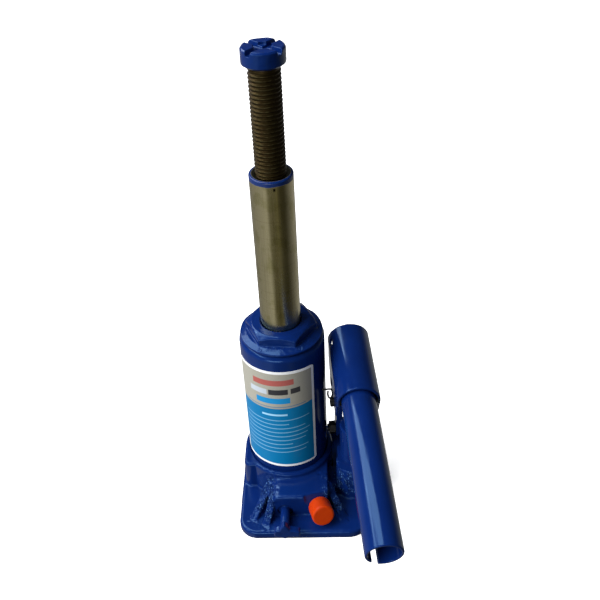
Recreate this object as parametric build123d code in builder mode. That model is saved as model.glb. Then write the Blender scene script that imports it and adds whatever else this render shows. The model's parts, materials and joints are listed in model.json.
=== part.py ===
from build123d import *
import os
from math import atan2, cos, degrees, hypot, radians, sin

# Hydraulic bottle jack with a lifting ram, an extension screw and a lever pump.
# Millimetres. The origin is on the ram's axis, at the underside of the base. +Z is up and the
# release valve faces -Y. The jack stands with its ram and its extension screw fully out.

# ---------------------------------------------------------------- driving dimensions
RUNNING = 0.05  # radial clearance of a running fit
GAP = 0.3  # clearance between pieces that pass each other

# Foot and casting
PLATE_LEFT, PLATE_RIGHT = -33, 55
PLATE_FRONT, PLATE_BACK = -61, 37
PLATE_T, PLATE_ROUND = 6, 2.2
CORNER_LEFT, CORNER_RIGHT = 12.5, 15
COLLAR_R, COLLAR_TOP = 30.5, 28
FLAT_SIDE_FRONT = -21  # the collar's left side is flat from here to the ram's axis
BOSS_LEFT, BOSS_RIGHT = -13, 27
BOSS_FRONT, BOSS_TOP = -46.5, 24
BOSS_SHOULDER_R = 8.5  # the boss's rounded top on the left
TANK_FLOOR = 22  # floor of the oil tank
CYLINDER_FLOOR = 16
PUMP_FLOOR = 12

# Tank, main cylinder and top nut
TANK_R, TANK_WALL, TANK_TOP = 27, 2.5, 129
CYLINDER_R, CYLINDER_WALL, CYLINDER_TOP = 13, 4, 126
NUT_SKIRT_R, NUT_SKIRT_BOTTOM = 19.5, 117
NUT_FLANGE_R, NUT_FLANGE_TOP = 26, 131
NUT_HEX_BOTTOM, NUT_CONE_FROM, NUT_TOP = 132.5, 133.8, 139.2
NUT_ACROSS_FLATS, NUT_CROWN_R, NUT_TURN = 39, 18.2, -5
GASKET_T = 0.5

# Ram and extension screw, drawn fully out
RAM_R, RAM_TOP, RAM_BOTTOM = 12.5, 241.5, 116
RAM_HEAD_H = 9.7  # the ram's guide at its foot
CUP_T = 5
SCREW_R, SCREW_NECK_R = 8.75, 8.2
SCREW_OUT = 60.5  # screw that shows between ram and saddle
RAM_THREAD_H = 14
RAM_BORE_R, RAM_BORE_DEPTH = 9.5, 84
STOP_RING_R, STOP_RING_T = 9.2, 2
SADDLE_R, SADDLE_H = 11.6, 9.8
GROOVE_TOP_W, GROOVE_FLOOR_W, GROOVE_D = 3.8, 2.4, 2.6  # the two grooves that cross its top
GROOVE_TURNS = (51, 141)
DISH_R, DISH_D = 5, 1.5

# Pump and lever, in the lever's own upright plane through the pump's axis
PUMP_X, PUMP_Y = 45.5, -21
TOE = radians(5.5)  # the lever's plane is turned out this much at the front
PUMP_BOSS_R, PUMP_BOSS_TOP = 12.5, 32
PUMP_SHANK_R, PUMP_BODY_R, PUMP_TOP = 9, 10, 66
PLUNGER_R, PLUNGER_FOOT = 6, 20
PIN_R = 3
PLUNGER_PIN = (0, 88)  # (back from the pump's axis, height)
LINK_PIN = (15.8, 90.5)
BASE_PIN = (22, 42)
PLAY_ALONG, PLAY_UP = 1.15, 0.45  # play of the plunger's pin in its slot
EAR_IN, EAR_OUT = 11.7, 13.5
LINK_IN, LINK_OUT = 6.5, 10.5
PIN_REACH = 16
SOCKET_TILT = radians(9)
SOCKET_NEAR = (-17.1, 103)  # centre of the socket's open end
SOCKET_L, SOCKET_R = 52.5, 13.5
HANDLE_R, HANDLE_WALL = 10.7, 1.6
HANDLE_OUT, HANDLE_IN = 99.8, 50.5
NOTCH_W, NOTCH_D, NOTCH_TURN = 4.6, 12, 30

# Valves
RELEASE_X, RELEASE_Z = -2, 10.6
RELEASE_TIP_R, RELEASE_STEM_R = 4, 3.2
WING_LEFT, WING_RIGHT = 6.9, 10.3  # the wing's arms, short enough to clear the floor
WING_H, WING_D, WING_HUB_R = 5, 4.4, 4.2
RELIEF_X, RELIEF_Z = 21.2, 13.9
RELIEF_TILT, RELIEF_YAW = radians(17), radians(14)
RELIEF_CAP_R, RELIEF_CAP_L = 7.5, 11

# Label and filler
LABEL_BOTTOM, LABEL_TOP, LABEL_T = 33, 118, 0.25
LABEL_START, LABEL_END = 195, 316  # degrees round the tank from +X
FILLER_Z = 96


# ---------------------------------------------------------------- helpers
def save(piece, name):
    """Label a finished piece and write it as parts/name.step."""
    piece.part.label = name
    export_step(piece.part, f"parts/{name}.step")


def ring(inner_r, outer_r, bottom, top, plane=Plane.XY):
    """A round piece about the plane's own normal, hollow when inner_r is not zero."""
    with BuildPart() as piece:
        with BuildSketch(plane.offset(bottom)):
            Circle(outer_r)
            if inner_r:
                Circle(inner_r, mode=Mode.SUBTRACT)
        extrude(amount=top - bottom)
    return piece


def turned(points, plane=Plane.XY):
    """A piece turned about the plane's normal, from (radius, height) points."""
    half = Plane(origin=plane.origin, x_dir=plane.x_dir, z_dir=-plane.y_dir)
    with BuildPart() as piece:
        with BuildSketch(half):
            with BuildLine():
                Polyline(*points, close=True)
            make_face()
        revolve(axis=Axis(plane.origin, plane.z_dir))
    return piece


def ball(centre, radius):
    """A valve ball."""
    with BuildPart() as piece:
        with Locations(centre):
            Sphere(radius)
    return piece


def o_ring(plane, centre_r, section_r):
    """A round-section seal that lies in the plane."""
    half = Plane(origin=plane.origin, x_dir=plane.x_dir, z_dir=-plane.y_dir)
    with BuildPart() as piece:
        with BuildSketch(half):
            with Locations((centre_r, 0)):
                Circle(section_r)
        revolve(axis=Axis(plane.origin, plane.z_dir))
    return piece


def coil_spring(seat, coil_r, wire_r, height, turns):
    """A helical spring that stands on the plane seat."""
    with BuildPart() as piece:
        with BuildLine() as path:
            Helix(height / turns, height, coil_r)
        with BuildSketch(Plane(origin=path.line @ 0, z_dir=path.line % 0)):
            Circle(wire_r)
        sweep(is_frenet=True)
    piece.part.locate(seat.location)
    return piece


U_DIR = Vector(cos(TOE), sin(TOE), 0)  # outward, away from the tank
V_DIR = Vector(-sin(TOE), cos(TOE), 0)  # towards the back
PUMP_FOOT = Vector(PUMP_X, PUMP_Y, 0)


def lever_side(u=0):
    """The lever's side view at u outward of its middle: x is back, y is up."""
    return Plane(origin=PUMP_FOOT + U_DIR * u, x_dir=V_DIR, z_dir=U_DIR)


def lever_point(back, up, u=0):
    """A point of the lever's side view, in the jack's frame."""
    return PUMP_FOOT + U_DIR * u + V_DIR * back + Vector(0, 0, up)


pump_plane = Plane(origin=PUMP_FOOT, x_dir=U_DIR, z_dir=(0, 0, 1))
tube_dir = V_DIR * cos(SOCKET_TILT) + Vector(0, 0, sin(SOCKET_TILT))
socket_plane = Plane(origin=lever_point(*SOCKET_NEAR), x_dir=U_DIR, z_dir=tube_dir)
relief_across = Vector(cos(RELIEF_YAW), sin(RELIEF_YAW), 0)
relief_level = Vector(sin(RELIEF_YAW), -cos(RELIEF_YAW), 0)
relief_out = relief_level * cos(RELIEF_TILT) + Vector(0, 0, sin(RELIEF_TILT))
relief_plane = Plane(
    origin=(RELIEF_X, BOSS_FRONT, RELIEF_Z), x_dir=relief_across, z_dir=relief_out
)
release_plane = Plane(origin=(RELEASE_X, BOSS_FRONT, RELEASE_Z), x_dir=(1, 0, 0), z_dir=(0, -1, 0))

os.makedirs("parts", exist_ok=True)

# ---------------------------------------------------------------- base casting
RIB_T = 5
WEB_TOP = 14
LUG_HALF, LUG_R = 6, 6.5
GALLERY_R = 1.4
INLET_SEAT, INLET_HOLE_R, CHAMBER_R = 6, 2, 3.5
OUTLET_SEAT, OUTLET_HOLE_R, OUTLET_POCKET_R = 4.6, 1.5, 3.3
GALLERY_Z = 3.2
SUCTION = Vector(20.4, 3.6, 0)
RELEASE_BORE_R, RELEASE_BORE_L = 5.05, 27
RELIEF_BORE_R, RELIEF_BORE_L = 4.5, 22
SPOT_R, SPOT_D = 7.8, 1.2
PAD_LEFT = 11.5  # the boss's front slopes back from here, square to the overload valve
ribs = [  # foot of the rib at the tank, its toe on the plate, its height at the tank
    ((-10, -26), (-24, -51), 22.5),
    ((-9.5, -38), (-15, -55.5), 21),
    ((24, -28), (38, -50), 23),
    ((-24, 18), (-29, 31), 18),
    ((24, 20), (44, 32), 18),
]

with BuildPart() as base:
    with BuildSketch() as foot:
        with Locations(((PLATE_LEFT + PLATE_RIGHT) / 2, (PLATE_FRONT + PLATE_BACK) / 2)):
            Rectangle(PLATE_RIGHT - PLATE_LEFT, PLATE_BACK - PLATE_FRONT)
        fillet(foot.vertices().group_by(Axis.X)[0], CORNER_LEFT)
        fillet(foot.vertices().group_by(Axis.X)[-1], CORNER_RIGHT)
    extrude(amount=PLATE_T)
    fillet(base.faces().sort_by(Axis.Z)[-1].edges(), PLATE_ROUND)

    # collar round the tank, with a flat left side
    with BuildSketch() as collar:
        Circle(COLLAR_R)
        with Locations((-COLLAR_R / 2, FLAT_SIDE_FRONT / 2)):
            Rectangle(COLLAR_R, -FLAT_SIDE_FRONT)
        fillet(collar.vertices().filter_by(lambda v: v.Y < FLAT_SIDE_FRONT + 1 and v.X < -29), 5)
    extrude(amount=COLLAR_TOP)
    chamfer(base.faces().sort_by(Axis.Z)[-1].edges(), 1.2)

    # front boss that holds the release valve and the overload valve
    with BuildPart(mode=Mode.PRIVATE) as boss:
        with BuildSketch(Plane.XZ) as arch:
            with Locations(((BOSS_LEFT + BOSS_RIGHT) / 2, BOSS_TOP / 2)):
                Rectangle(BOSS_RIGHT - BOSS_LEFT, BOSS_TOP)
            top_corners = arch.vertices().group_by(Axis.Y)[-1].sort_by(Axis.X)
            fillet(top_corners[0], BOSS_SHOULDER_R)
            fillet(top_corners[1], 3)
        extrude(amount=-BOSS_FRONT)
        fillet(boss.faces().sort_by(Axis.Y)[0].edges().filter_by(lambda e: e.center().Z > 0.1), 2)
    add(boss.part)

    # pump boss, with a web to the collar and the lug for the link
    with BuildSketch(pump_plane):
        Circle(PUMP_BOSS_R)
        with Locations((-14, 2)):
            Rectangle(28, 19)
    extrude(amount=WEB_TOP)
    with BuildSketch(pump_plane):
        Circle(PUMP_BOSS_R)
    extrude(amount=PUMP_BOSS_TOP)
    with BuildSketch(lever_side(-LUG_HALF)):
        with BuildLine():
            lug_back = BASE_PIN[0] + LUG_R
            lug_front = BASE_PIN[0] - LUG_R
            Line((lug_front - 6, 3), (lug_back + 3, 3))
            Line((lug_back + 3, 3), (lug_back, BASE_PIN[1]))
            RadiusArc((lug_back, BASE_PIN[1]), (lug_front, BASE_PIN[1]), -LUG_R)
            Line((lug_front, BASE_PIN[1]), (lug_front, 31))
            Line((lug_front, 31), (lug_front - 6, 26))
            Line((lug_front - 6, 26), (lug_front - 6, 3))
        make_face()
    extrude(amount=2 * LUG_HALF)

    # cast ribs that run down onto the plate
    for root, toe, height in ribs:
        run = Vector(toe[0] - root[0], toe[1] - root[1], 0)
        side = Plane(origin=(*root, 0), x_dir=run, z_dir=run.cross(Vector(0, 0, 1)))
        with BuildSketch(side.offset(-RIB_T / 2)) as rib:
            with BuildLine():
                Polyline(
                    (0, PLATE_T / 2), (0, height), (run.length * 0.25, height - 2),
                    (run.length, PLATE_T), (run.length, PLATE_T / 2), close=True,
                )
            make_face()
        extrude(amount=RIB_T)

    # tank seat, gasket groove and main cylinder bore
    with BuildSketch(Plane.XY.offset(TANK_FLOOR)):
        Circle(TANK_R + 0.1)
    extrude(amount=COLLAR_TOP, mode=Mode.SUBTRACT)
    with BuildSketch(Plane.XY.offset(TANK_FLOOR)):
        Circle(TANK_R + 0.1)
        Circle(TANK_R - TANK_WALL - 0.2, mode=Mode.SUBTRACT)
    extrude(amount=-GASKET_T * 2, mode=Mode.SUBTRACT)
    with BuildSketch(Plane.XY.offset(CYLINDER_FLOOR)):
        Circle(CYLINDER_R + CYLINDER_WALL)
    extrude(amount=COLLAR_TOP, mode=Mode.SUBTRACT)

    # delivery valve pocket in the cylinder's floor, and its seat
    with BuildSketch(Plane.XY.offset(OUTLET_SEAT)):
        Circle(OUTLET_POCKET_R)
    extrude(amount=CYLINDER_FLOOR, mode=Mode.SUBTRACT)
    with BuildSketch(Plane.XY.offset(GALLERY_Z)):
        Circle(OUTLET_HOLE_R)
    extrude(amount=CYLINDER_FLOOR, mode=Mode.SUBTRACT)

    # pump bore, suction chamber and its seat
    with BuildSketch(pump_plane.offset(PUMP_FLOOR)):
        Circle(PUMP_SHANK_R)
    extrude(amount=PUMP_BOSS_TOP, mode=Mode.SUBTRACT)
    with BuildSketch(pump_plane.offset(INLET_SEAT)):
        Circle(CHAMBER_R)
    extrude(amount=PUMP_FLOOR, mode=Mode.SUBTRACT)
    with BuildSketch(pump_plane.offset(GALLERY_Z)):
        Circle(INLET_HOLE_R)
    extrude(amount=PUMP_FLOOR, mode=Mode.SUBTRACT)

    # valve bores in the front boss, and the return from the release valve to the tank
    with BuildSketch(release_plane.offset(-RELEASE_BORE_L)):
        Circle(RELEASE_BORE_R)
    extrude(amount=RELEASE_BORE_L + 1, mode=Mode.SUBTRACT)
    with BuildSketch(Plane.XY.offset(RELEASE_Z)):
        with Locations((RELEASE_X, BOSS_FRONT + RELEASE_BORE_L - 2.1)):
            Circle(GALLERY_R)
    extrude(amount=TANK_FLOOR - RELEASE_Z, mode=Mode.SUBTRACT)
    with BuildSketch(relief_plane.offset(-RELIEF_BORE_L)):
        Circle(RELIEF_BORE_R)
    extrude(amount=RELIEF_BORE_L + 4, mode=Mode.SUBTRACT)
    with BuildSketch(relief_plane.offset(-SPOT_D)):
        Circle(SPOT_R)
    extrude(amount=4, mode=Mode.SUBTRACT)
    with BuildSketch(relief_plane.offset(-SPOT_D)):
        with Locations(((PAD_LEFT - RELIEF_X) / 2 + 10, PLATE_T + 2)):
            Rectangle(RELIEF_X - PAD_LEFT + 20, 24)
    extrude(amount=6, mode=Mode.SUBTRACT)

    # drilled oil galleries
    with BuildSketch(Plane.XY.offset(GALLERY_Z)):
        with Locations((SUCTION.X, SUCTION.Y)):
            Circle(INLET_HOLE_R)
    extrude(amount=TANK_FLOOR, mode=Mode.SUBTRACT)
    delivery_start = PUMP_FOOT + Vector(0, 0, 9)
    delivery_end = Vector(0, 0, GALLERY_Z)
    galleries = [
        (SUCTION + Vector(0, 0, GALLERY_Z), PUMP_FOOT + Vector(0, 0, GALLERY_Z)),
        (delivery_start, delivery_end),
        (release_plane.offset(-RELEASE_BORE_L).origin, Vector(0, 0, RELEASE_Z)),
        (relief_plane.offset(-RELIEF_BORE_L).origin, delivery_start * 0.4 + delivery_end * 0.6),
    ]
    for start, end in galleries:
        with BuildSketch(Plane(origin=start, z_dir=end - start).offset(-GALLERY_R)):
            Circle(GALLERY_R)
        extrude(amount=(end - start).length + GALLERY_R, mode=Mode.SUBTRACT)

    # hole for the link's lower pin
    with BuildSketch(lever_side(-LUG_HALF - 1)):
        with Locations(BASE_PIN):
            Circle(PIN_R + RUNNING)
    extrude(amount=2 * LUG_HALF + 2, mode=Mode.SUBTRACT)
save(base, "base_casting")

# ---------------------------------------------------------------- tank and main cylinder
SHOULDER = 4
with BuildPart() as tank:
    with BuildSketch(Plane.XY.offset(TANK_FLOOR)):
        Circle(TANK_R)
    extrude(amount=TANK_TOP - TANK_FLOOR)
    fillet(tank.faces().sort_by(Axis.Z)[-1].edges(), SHOULDER)
    with BuildSketch(Plane.XY.offset(TANK_FLOOR)):
        Circle(TANK_R - TANK_WALL)
    extrude(amount=TANK_TOP - TANK_FLOOR - TANK_WALL, mode=Mode.SUBTRACT)
    with BuildSketch(Plane.XY.offset(TANK_TOP)):
        Circle(NUT_SKIRT_R + 0.1)
    extrude(amount=-2 * TANK_WALL, mode=Mode.SUBTRACT)
    with BuildSketch(Plane(origin=(0, 0, FILLER_Z), z_dir=(0, 1, 0))):
        Circle(4)
    extrude(amount=TANK_R + 1, mode=Mode.SUBTRACT)
save(tank, "reservoir_tube")

save(
    ring(TANK_R - TANK_WALL, TANK_R, TANK_FLOOR - 2 * GASKET_T, TANK_FLOOR),
    "reservoir_lower_gasket",
)
save(ring(20.5, TANK_R - SHOULDER + 0.5, TANK_TOP, TANK_TOP + GASKET_T), "reservoir_upper_gasket")
save(ring(CYLINDER_R, 16.8, CYLINDER_FLOOR, CYLINDER_FLOOR + 1), "cylinder_washer")
save(
    ring(CYLINDER_R, CYLINDER_R + CYLINDER_WALL, CYLINDER_FLOOR + 1, CYLINDER_TOP),
    "cylinder_tube",
)

# ---------------------------------------------------------------- top nut and its wiper
WIPER_Z, WIPER_H, WIPER_R = 133.5, 3, 14.5
with BuildPart() as nut:
    with BuildSketch(Plane.XY.offset(NUT_HEX_BOTTOM)):
        RegularPolygon(NUT_ACROSS_FLATS / 2, 6, major_radius=False, rotation=NUT_TURN)
    extrude(amount=NUT_TOP - NUT_HEX_BOTTOM)
    # the hexagon's corners are turned down to a cone at the top
    cone = turned(
        [
            (0, NUT_HEX_BOTTOM), (TANK_R, NUT_HEX_BOTTOM), (TANK_R, NUT_CONE_FROM),
            (NUT_CROWN_R, NUT_TOP), (0, NUT_TOP),
        ]
    )
    add(cone.part, mode=Mode.INTERSECT)
    flange = turned(
        [
            (0, TANK_TOP + GASKET_T), (NUT_FLANGE_R - 0.4, TANK_TOP + GASKET_T),
            (NUT_FLANGE_R, TANK_TOP + GASKET_T + 0.4), (NUT_FLANGE_R, NUT_FLANGE_TOP),
            (NUT_FLANGE_R - 4, NUT_HEX_BOTTOM), (0, NUT_HEX_BOTTOM),
        ]
    )
    add(flange.part)
    with BuildSketch(Plane.XY.offset(NUT_SKIRT_BOTTOM)):
        Circle(NUT_SKIRT_R)
    extrude(amount=TANK_TOP + GASKET_T - NUT_SKIRT_BOTTOM)
    with BuildSketch(Plane.XY.offset(NUT_SKIRT_BOTTOM)):
        Circle(CYLINDER_R + CYLINDER_WALL)
    extrude(amount=CYLINDER_TOP - NUT_SKIRT_BOTTOM, mode=Mode.SUBTRACT)
    with BuildSketch(Plane.XY.offset(NUT_SKIRT_BOTTOM)):
        Circle(RAM_R + RUNNING)
    extrude(amount=NUT_TOP, mode=Mode.SUBTRACT)
    with BuildSketch(Plane.XY.offset(WIPER_Z)):
        Circle(WIPER_R)
    extrude(amount=WIPER_H, mode=Mode.SUBTRACT)
    top_circles = nut.edges().filter_by(GeomType.CIRCLE).group_by(Axis.Z)[-1]
    chamfer(top_circles.sort_by(SortBy.RADIUS)[0], 0.8)
save(nut, "top_nut")
save(ring(RAM_R + 0.03, WIPER_R, WIPER_Z, WIPER_Z + WIPER_H), "ram_wiper_seal")

# ---------------------------------------------------------------- ram
HEAD_R = CYLINDER_R - RUNNING
CUP_SCREW_R = 3
with BuildPart() as ram:
    with BuildSketch(Plane.XY.offset(RAM_BOTTOM)):
        Circle(HEAD_R)
    extrude(amount=RAM_HEAD_H)
    with BuildSketch(Plane.XY.offset(RAM_BOTTOM + RAM_HEAD_H)):
        Circle(RAM_R)
    extrude(amount=RAM_TOP - RAM_BOTTOM - RAM_HEAD_H)
    chamfer(ram.edges().sort_by(Axis.Z)[-1], 1)
    with BuildSketch(Plane.XY.offset(RAM_TOP)):
        Circle(SCREW_R + RUNNING)
    extrude(amount=-RAM_BORE_DEPTH, mode=Mode.SUBTRACT)
    with BuildSketch(Plane.XY.offset(RAM_TOP - RAM_THREAD_H)):
        Circle(RAM_BORE_R)
    extrude(amount=-(RAM_BORE_DEPTH - RAM_THREAD_H), mode=Mode.SUBTRACT)
    top_circles = ram.edges().filter_by(GeomType.CIRCLE).group_by(Axis.Z)[-1]
    chamfer(top_circles.sort_by(SortBy.RADIUS)[0], 0.6)
    with BuildSketch(Plane.XY.offset(RAM_BOTTOM)):
        Circle(CUP_SCREW_R)
    extrude(amount=12, mode=Mode.SUBTRACT)
save(ram, "ram")

# pressure cup, its washer and the screw that holds them under the ram
cup_bottom = RAM_BOTTOM - CUP_T
save(
    turned(
        [
            (CUP_SCREW_R, RAM_BOTTOM), (HEAD_R, RAM_BOTTOM), (HEAD_R, cup_bottom),
            (HEAD_R - 2, cup_bottom), (HEAD_R - 3, RAM_BOTTOM - 2), (CUP_SCREW_R, RAM_BOTTOM - 2),
        ]
    ),
    "ram_pressure_cup",
)
save(ring(CUP_SCREW_R, 8.5, RAM_BOTTOM - 4, RAM_BOTTOM - 2), "ram_cup_washer")
with BuildPart() as cup_screw:
    with BuildSketch(Plane.XY.offset(RAM_BOTTOM - 4)):
        Circle(CUP_SCREW_R)
    extrude(amount=15)
    with BuildSketch(Plane.XY.offset(RAM_BOTTOM - 6.5)):
        Circle(5)
    extrude(amount=2.5)
    with BuildSketch(Plane.XY.offset(RAM_BOTTOM - 6.5)):
        RegularPolygon(2, 6, major_radius=False)
    extrude(amount=1.5, mode=Mode.SUBTRACT)
save(cup_screw, "ram_cup_screw")

# ---------------------------------------------------------------- extension screw and saddle
saddle_bottom = RAM_TOP + SCREW_OUT
ring_top = RAM_TOP - RAM_THREAD_H - GAP
screw_bottom = ring_top - STOP_RING_T - 1.5
STOP_GROOVE_R = 7.2  # the screw's groove for the stop ring
SPIGOT_R, SPIGOT_H = 5, 5  # the screw's spigot in the saddle
with BuildPart() as screw:
    with BuildSketch(Plane.XZ):
        with BuildLine():
            Polyline(
                (0, screw_bottom), (SCREW_R - 1, screw_bottom), (SCREW_R, screw_bottom + 1),
                (SCREW_R, ring_top - STOP_RING_T - RUNNING),
                (STOP_GROOVE_R, ring_top - STOP_RING_T - RUNNING), (STOP_GROOVE_R, ring_top + RUNNING),
                (SCREW_R, ring_top + RUNNING), (SCREW_R, saddle_bottom - 1.2),
                (SCREW_NECK_R, saddle_bottom - 0.6), (SCREW_NECK_R, saddle_bottom),
                (SPIGOT_R, saddle_bottom), (SPIGOT_R, saddle_bottom + SPIGOT_H),
                (0, saddle_bottom + SPIGOT_H), close=True,
            )
        make_face()
    revolve(axis=Axis.Z)
save(screw, "extension_screw")

with BuildPart() as stop_ring:
    with BuildSketch(Plane.XY.offset(ring_top - STOP_RING_T)):
        Circle(STOP_RING_R)
        Circle(STOP_GROOVE_R + RUNNING, mode=Mode.SUBTRACT)
    extrude(amount=STOP_RING_T)
save(stop_ring, "screw_stop_ring")

with BuildPart() as saddle:
    with BuildSketch(Plane.XY.offset(saddle_bottom)):
        Circle(SADDLE_R)
    extrude(amount=SADDLE_H)
    chamfer(saddle.edges().sort_by(Axis.Z)[-1], 0.9)
    chamfer(saddle.edges().sort_by(Axis.Z)[0], 1.5)
    saddle_top = saddle_bottom + SADDLE_H
    for turn in GROOVE_TURNS:
        along = Vector(cos(radians(turn)), sin(radians(turn)), 0)
        end = Plane(origin=along * -SADDLE_R * 1.1, x_dir=along.cross(Vector(0, 0, 1)), z_dir=along)
        with BuildSketch(end):
            with BuildLine():
                floor_z = saddle_top - GROOVE_D
                Polyline(
                    (-GROOVE_TOP_W / 2, -saddle_top), (GROOVE_TOP_W / 2, -saddle_top),
                    (GROOVE_FLOOR_W / 2, -floor_z), (-GROOVE_FLOOR_W / 2, -floor_z), close=True,
                )
            make_face()
        extrude(amount=SADDLE_R * 2.2, mode=Mode.SUBTRACT)
    with BuildSketch(Plane.XY.offset(saddle_top)):
        Circle(DISH_R)
    extrude(amount=-DISH_D, mode=Mode.SUBTRACT)
    with BuildSketch(Plane.XY.offset(saddle_bottom)):
        Circle(SPIGOT_R)
    extrude(amount=SPIGOT_H, mode=Mode.SUBTRACT)
save(saddle, "saddle")

# ---------------------------------------------------------------- pump cylinder and plunger
PUMP_HEX_H = 7
SEAL_GROOVE_R = 4.4
with BuildPart() as pump:
    with BuildSketch(pump_plane.offset(PUMP_FLOOR)):
        Circle(PUMP_SHANK_R)
    extrude(amount=PUMP_BOSS_TOP - PUMP_FLOOR)
    with BuildSketch(pump_plane.offset(PUMP_BOSS_TOP)):
        RegularPolygon(11.5, 6, major_radius=False, rotation=30)
    extrude(amount=PUMP_HEX_H)
    with BuildSketch(pump_plane.offset(PUMP_BOSS_TOP + PUMP_HEX_H)):
        Circle(PUMP_BODY_R)
    extrude(amount=PUMP_TOP - PUMP_BOSS_TOP - PUMP_HEX_H)
    chamfer(pump.edges().sort_by(Axis.Z)[-1], 1)
    with BuildSketch(pump_plane.offset(PUMP_FLOOR)):
        Circle(PLUNGER_R + RUNNING)
    extrude(amount=PUMP_TOP, mode=Mode.SUBTRACT)
    with BuildSketch(pump_plane.offset(PUMP_TOP - 5)):
        Circle(PLUNGER_R + 1.6)
    extrude(amount=2.5, mode=Mode.SUBTRACT)
save(pump, "pump_cylinder")
save(
    ring(PLUNGER_R + 0.03, PLUNGER_R + 1.6, PUMP_TOP - 5, PUMP_TOP - 2.5, pump_plane),
    "pump_wiper_seal",
)

EYE_R, EYE_HALF = 6.3, 5
seal_z = PLUNGER_FOOT + 4
with BuildPart() as plunger:
    with BuildSketch(pump_plane.offset(PLUNGER_FOOT)):
        Circle(PLUNGER_R)
    extrude(amount=PLUNGER_PIN[1] - 5 - PLUNGER_FOOT)
    chamfer(plunger.edges().sort_by(Axis.Z)[0], 0.8)
    with BuildSketch(lever_side(-EYE_HALF)):
        with Locations(PLUNGER_PIN):
            SlotCenterToCenter(2 * PLAY_ALONG, 2 * EYE_R)
            with Locations((0, -EYE_R / 2)):
                Rectangle(2 * PLUNGER_R - 0.6, EYE_R)
    extrude(amount=2 * EYE_HALF)
    slot_r = PIN_R + PLAY_UP
    with BuildSketch(lever_side(-EYE_HALF - 1)):
        with Locations(PLUNGER_PIN):
            SlotCenterToCenter(2 * (PLAY_ALONG - PLAY_UP), 2 * slot_r)
    extrude(amount=2 * EYE_HALF + 2, mode=Mode.SUBTRACT)
    with BuildSketch(pump_plane.offset(seal_z)):
        Circle(PLUNGER_R + 1)
        Circle(SEAL_GROOVE_R, mode=Mode.SUBTRACT)
    extrude(amount=2.4, mode=Mode.SUBTRACT)
save(plunger, "pump_plunger")
save(ring(SEAL_GROOVE_R, PLUNGER_R + 0.02, seal_z, seal_z + 2.4, pump_plane), "plunger_seal")


# ---------------------------------------------------------------- link and pins
def link_plate(u_from, u_to):
    """One flat side plate of the link, with an eye at each end."""
    with BuildPart() as plate:
        with BuildSketch(lever_side(u_from)):
            reach = hypot(LINK_PIN[0] - BASE_PIN[0], LINK_PIN[1] - BASE_PIN[1])
            lean = degrees(atan2(LINK_PIN[1] - BASE_PIN[1], LINK_PIN[0] - BASE_PIN[0]))
            middle = ((LINK_PIN[0] + BASE_PIN[0]) / 2, (LINK_PIN[1] + BASE_PIN[1]) / 2)
            with Locations(middle):
                SlotCenterToCenter(reach, 12, rotation=lean)
            with Locations(LINK_PIN, BASE_PIN):
                Circle(PIN_R + RUNNING, mode=Mode.SUBTRACT)
        extrude(amount=u_to - u_from)
        chamfer(plate.faces().filter_by(Plane(origin=(0, 0, 0), z_dir=U_DIR)).edges(), 0.4)
    return plate


save(link_plate(-LINK_OUT, -LINK_IN), "link_plate_left")
save(link_plate(LINK_IN, LINK_OUT), "link_plate_right")

PIN_HEAD_R, PIN_HEAD_T = 4.4, 2
COTTER_AT, COTTER_HOLE_R = 14.7, 0.75
PIN_THREAD_R = 2.5
NUT_T, PIN_NUT_ACROSS_FLATS = 4, 8


def clevis_pin(place, reach, inner_face):
    """A headed pin with its head on the outer side; reach is how far it goes towards the tank."""
    with BuildPart() as pin:
        with BuildSketch(lever_side(-reach)):
            with Locations(place):
                Circle(PIN_R)
        extrude(amount=reach + inner_face)
        chamfer(pin.faces().sort_by(Axis(PUMP_FOOT, U_DIR))[0].edges(), 0.4)
        with BuildSketch(lever_side(inner_face)):
            with Locations(place):
                Circle(PIN_HEAD_R)
        extrude(amount=PIN_HEAD_T)
        chamfer(pin.faces().sort_by(Axis(PUMP_FOOT, U_DIR))[-1].edges(), 0.6)
    return pin


# the plunger's pin is held by a bent-wire pin through a small hole
with BuildPart() as plunger_pin:
    add(clevis_pin(PLUNGER_PIN, PIN_REACH, EAR_OUT).part)
    hole = Plane(origin=lever_point(*PLUNGER_PIN, -COTTER_AT), x_dir=U_DIR, z_dir=(0, 0, 1))
    with BuildSketch(hole.offset(-PIN_R - 1)):
        Circle(COTTER_HOLE_R)
    extrude(amount=2 * PIN_R + 2, mode=Mode.SUBTRACT)
save(plunger_pin, "plunger_pin")

WIRE_R, EYE_W, EYE_H, TAIL_L = 0.6, 1.5, 3.9, 5
EYE_AT = 15.8  # the eye stands clear of the socket's side
wire_plane = Plane(
    origin=lever_point(*PLUNGER_PIN, -EYE_AT), x_dir=-U_DIR, z_dir=V_DIR
)  # y is up
eye_middle = PIN_R + 0.7 + EYE_H
with BuildPart() as cotter:
    # the tail runs into the eye, which stays open by a sixth
    with BuildLine(wire_plane) as wire:
        Line((TAIL_L, eye_middle + EYE_H), (0, eye_middle + EYE_H))
        EllipticalCenterArc((0, eye_middle), EYE_W, EYE_H, 90, arc_size=300)
    with BuildSketch(Plane(origin=wire.line @ 0, z_dir=wire.line % 0)):
        Circle(WIRE_R)
    sweep()
    with BuildSketch(hole.offset(-PIN_R - 0.8)):
        Circle(WIRE_R)
    extrude(amount=PIN_R + 0.8 + eye_middle - EYE_H + 1.2)
save(cotter, "plunger_pin_cotter")

save(clevis_pin(LINK_PIN, EAR_OUT + 0.4, EAR_OUT), "link_pin")

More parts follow.
